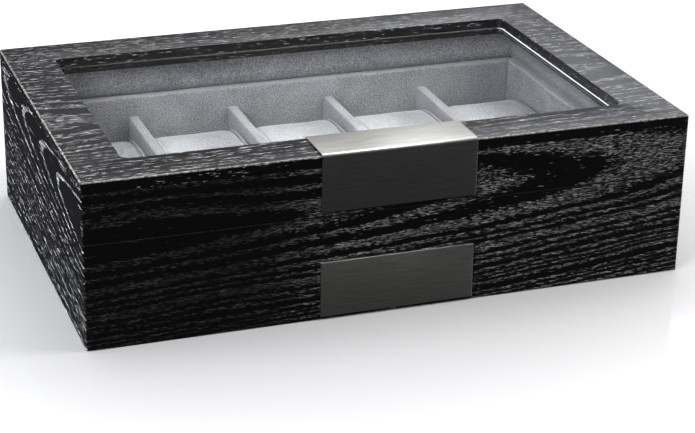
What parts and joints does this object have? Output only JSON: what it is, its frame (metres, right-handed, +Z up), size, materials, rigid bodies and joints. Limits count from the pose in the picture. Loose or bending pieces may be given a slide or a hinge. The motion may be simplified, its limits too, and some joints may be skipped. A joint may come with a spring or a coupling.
{
  "type": "watch box",
  "caption": "Hinged wooden case with a glazed lid, velour-lined compartments that each hold a removable watch pillow, and steel grip plates.",
  "frame": {"origin": "centre of the case's outline, on the underside of the felt that it stands on", "axes": "+X to the right, -Y towards the front with the plates, +Z up"},
  "size_m": [0.32, 0.2167, 0.0892],
  "materials": {
    "limed_oak": "black-stained oak veneer with pale grain, semi-gloss lacquer",
    "bottom_board": "black board",
    "felt": "felt",
    "velour": "grey velour",
    "pillow_velour": "light grey velour",
    "steel": "brushed along its width",
    "glass": "clear",
    "nickel": "nickel-plated"
  },
  "bodies": {
    "base": {"base_front_wall": "limed_oak", "base_back_wall": "limed_oak", "base_left_wall": "limed_oak", "base_right_wall": "limed_oak", "bottom_panel": "bottom_board", "felt_sheet": "felt", "floor_lining": "velour", "base_front_lining": "velour", "base_back_lining": "velour", "base_left_lining": "velour", "base_right_lining": "velour", "long_divider": "velour", "cross_divider_1": "velour", "cross_divider_2": "velour", "cross_divider_3": "velour", "cross_divider_4": "velour", "base_plate": "steel", "base_hinge_leaves": "nickel", "base_hinge_screws": "nickel", "hinge_pins": "nickel"},
    "lid": {"lid_front_wall": "limed_oak", "lid_back_wall": "limed_oak", "lid_left_wall": "limed_oak", "lid_right_wall": "limed_oak", "lid_top_panel": "limed_oak", "glass_pane": "glass", "glazing_frame": "velour", "lid_front_lining": "velour", "lid_back_lining": "velour", "lid_left_lining": "velour", "lid_right_lining": "velour", "grip_plate": "steel", "lid_hinge_leaves": "nickel", "lid_hinge_screws": "nickel"},
    "pillow_front_1": {"pillow_front_1": "pillow_velour"},
    "pillow_front_2": {"pillow_front_2": "pillow_velour"},
    "pillow_front_3": {"pillow_front_3": "pillow_velour"},
    "pillow_front_4": {"pillow_front_4": "pillow_velour"},
    "pillow_front_5": {"pillow_front_5": "pillow_velour"},
    "pillow_back_1": {"pillow_back_1": "pillow_velour"},
    "pillow_back_2": {"pillow_back_2": "pillow_velour"},
    "pillow_back_3": {"pillow_back_3": "pillow_velour"},
    "pillow_back_4": {"pillow_back_4": "pillow_velour"},
    "pillow_back_5": {"pillow_back_5": "pillow_velour"}
  },
  "joints": [
    {"name": "lid_hinge", "type": "hinge", "parent": "base", "child": "lid", "pos_m": [0, 0.1077, 0.056], "axis": [-1, 0, 0], "range_deg": [0, 95]},
    {"name": "pillow_front_1_lift", "type": "slide", "parent": "base", "child": "pillow_front_1", "axis": [0, 0, 1], "range_m": [0, 0.03]},
    {"name": "pillow_front_2_lift", "type": "slide", "parent": "base", "child": "pillow_front_2", "axis": [0, 0, 1], "range_m": [0, 0.03]},
    {"name": "pillow_front_3_lift", "type": "slide", "parent": "base", "child": "pillow_front_3", "axis": [0, 0, 1], "range_m": [0, 0.03]},
    {"name": "pillow_front_4_lift", "type": "slide", "parent": "base", "child": "pillow_front_4", "axis": [0, 0, 1], "range_m": [0, 0.03]},
    {"name": "pillow_front_5_lift", "type": "slide", "parent": "base", "child": "pillow_front_5", "axis": [0, 0, 1], "range_m": [0, 0.03]},
    {"name": "pillow_back_1_lift", "type": "slide", "parent": "base", "child": "pillow_back_1", "axis": [0, 0, 1], "range_m": [0, 0.03]},
    {"name": "pillow_back_2_lift", "type": "slide", "parent": "base", "child": "pillow_back_2", "axis": [0, 0, 1], "range_m": [0, 0.03]},
    {"name": "pillow_back_3_lift", "type": "slide", "parent": "base", "child": "pillow_back_3", "axis": [0, 0, 1], "range_m": [0, 0.03]},
    {"name": "pillow_back_4_lift", "type": "slide", "parent": "base", "child": "pillow_back_4", "axis": [0, 0, 1], "range_m": [0, 0.03]},
    {"name": "pillow_back_5_lift", "type": "slide", "parent": "base", "child": "pillow_back_5", "axis": [0, 0, 1], "range_m": [0, 0.03]}
  ]
}
